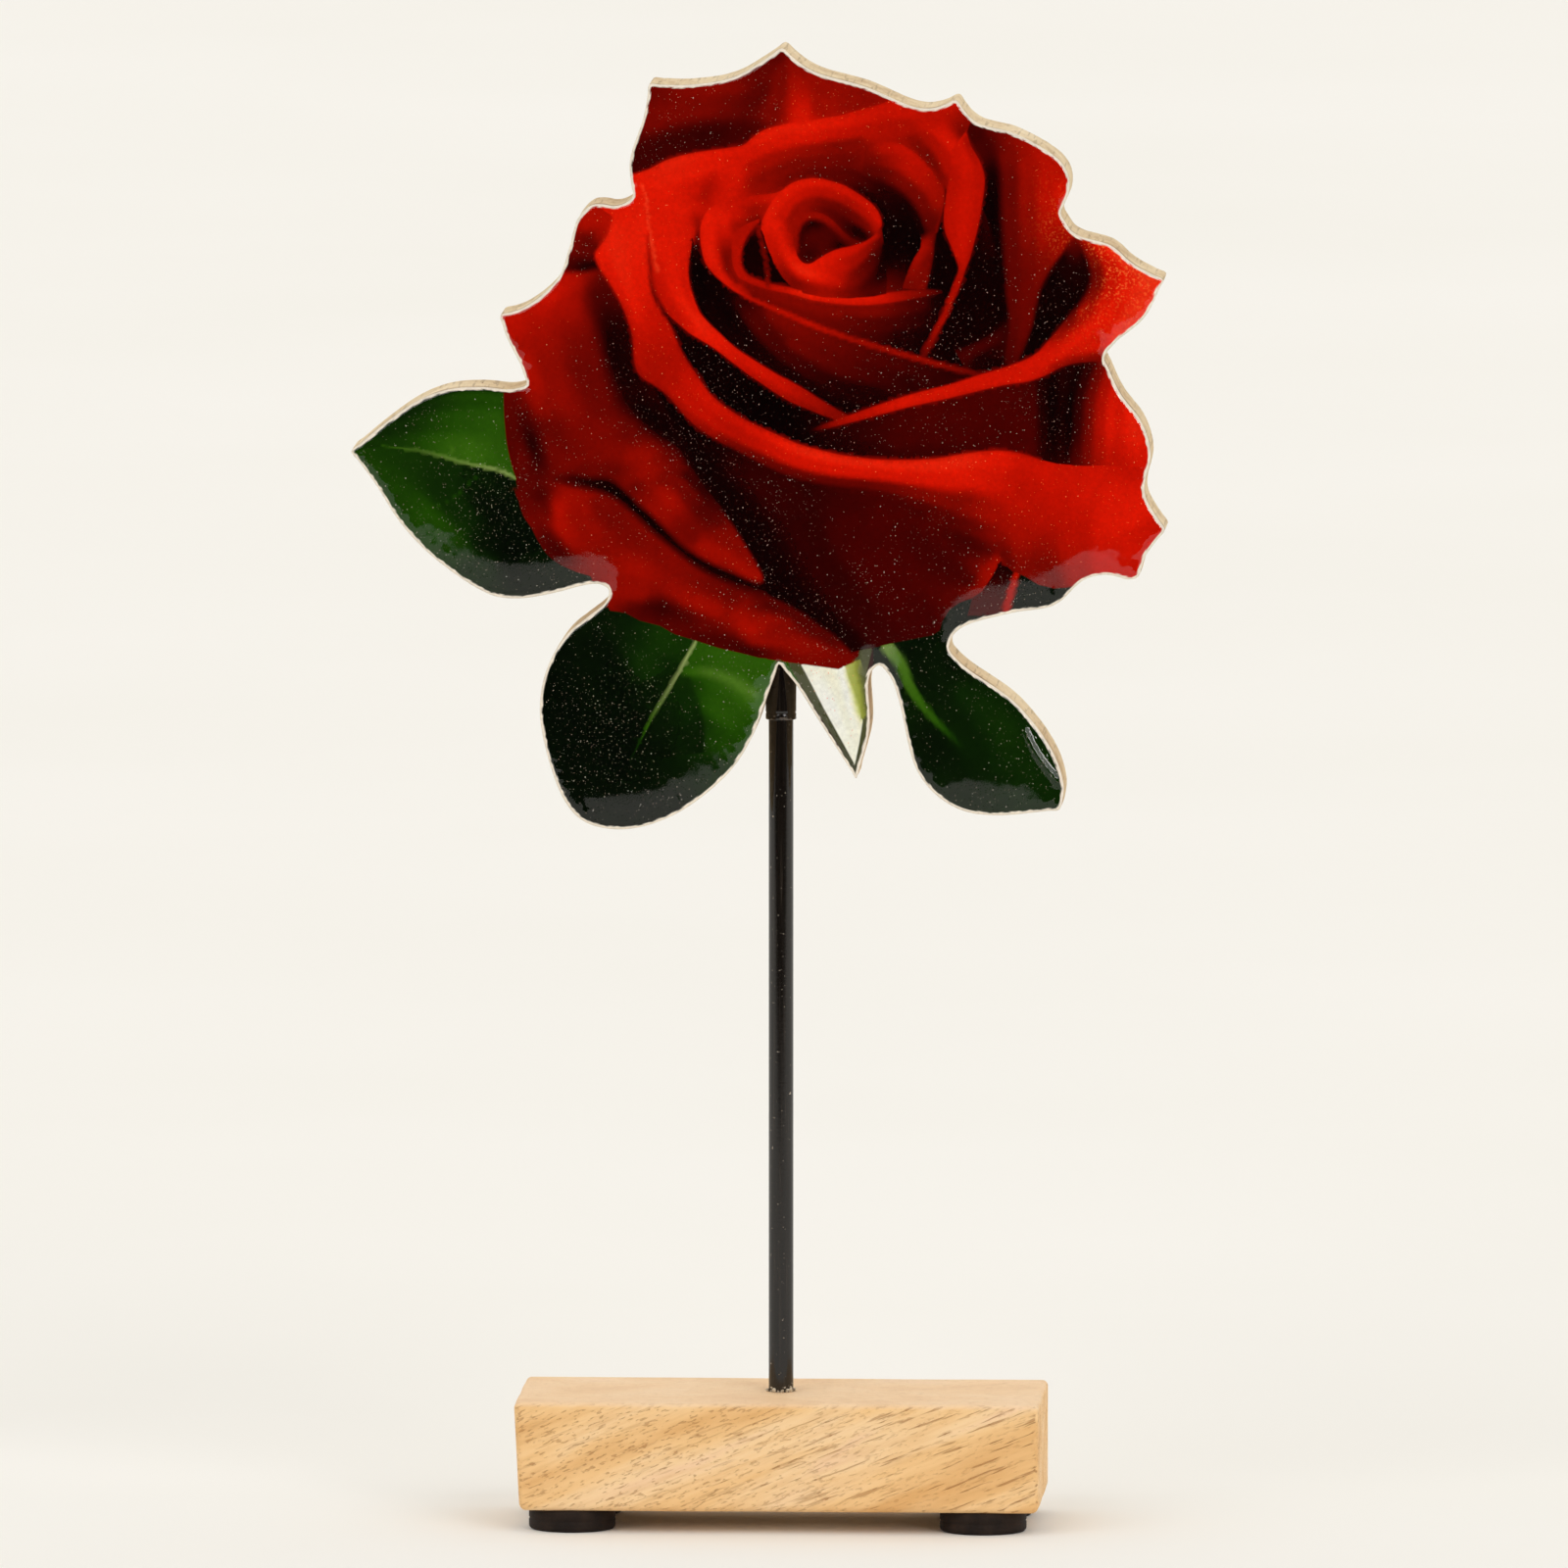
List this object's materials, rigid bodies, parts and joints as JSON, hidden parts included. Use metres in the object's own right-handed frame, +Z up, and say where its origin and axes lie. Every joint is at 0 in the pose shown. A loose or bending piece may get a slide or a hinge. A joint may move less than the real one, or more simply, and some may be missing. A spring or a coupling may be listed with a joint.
{
  "type": "rose table ornament",
  "caption": "Rose-shaped wooden plate with a printed front under clear domed resin, on a slim black steel rod that stands in a wooden block on round feet.",
  "frame": {"origin": "on the table, under the middle of the rose's width and of the block's depth", "axes": "+Z up along the rod, +X to the right of someone who faces the picture, -Y out of the picture"},
  "size_m": [0.164, 0.044, 0.2994],
  "materials": {
    "block_wood": "sanded, bare, with dark pores",
    "plate_wood": "sawn",
    "print": "printed red rose with green leaves",
    "resin": "clear, glossy, domed",
    "black_steel": "black, semi-gloss, a little worn",
    "foot_rubber": "matt"
  },
  "bodies": {
    "stand": {"base_block": "block_wood", "rod": "black_steel", "foot_front_left": "foot_rubber", "foot_front_right": "foot_rubber", "foot_rear_left": "foot_rubber", "foot_rear_right": "foot_rubber"},
    "socket": {"socket_tube": "black_steel"},
    "rose_head": {"rose_plate": "plate_wood", "rose_print": "print", "resin_coat": "resin"}
  },
  "joints": [
    {"name": "rose_lift", "type": "slide", "parent": "stand", "child": "socket", "axis": [0, 0, 1], "range_m": [0, 0.034]},
    {"name": "rose_turn", "type": "hinge", "parent": "socket", "child": "rose_head", "pos_m": [0.00425, 0, 0.175], "axis": [0, 0, 1], "continuous": true}
  ]
}
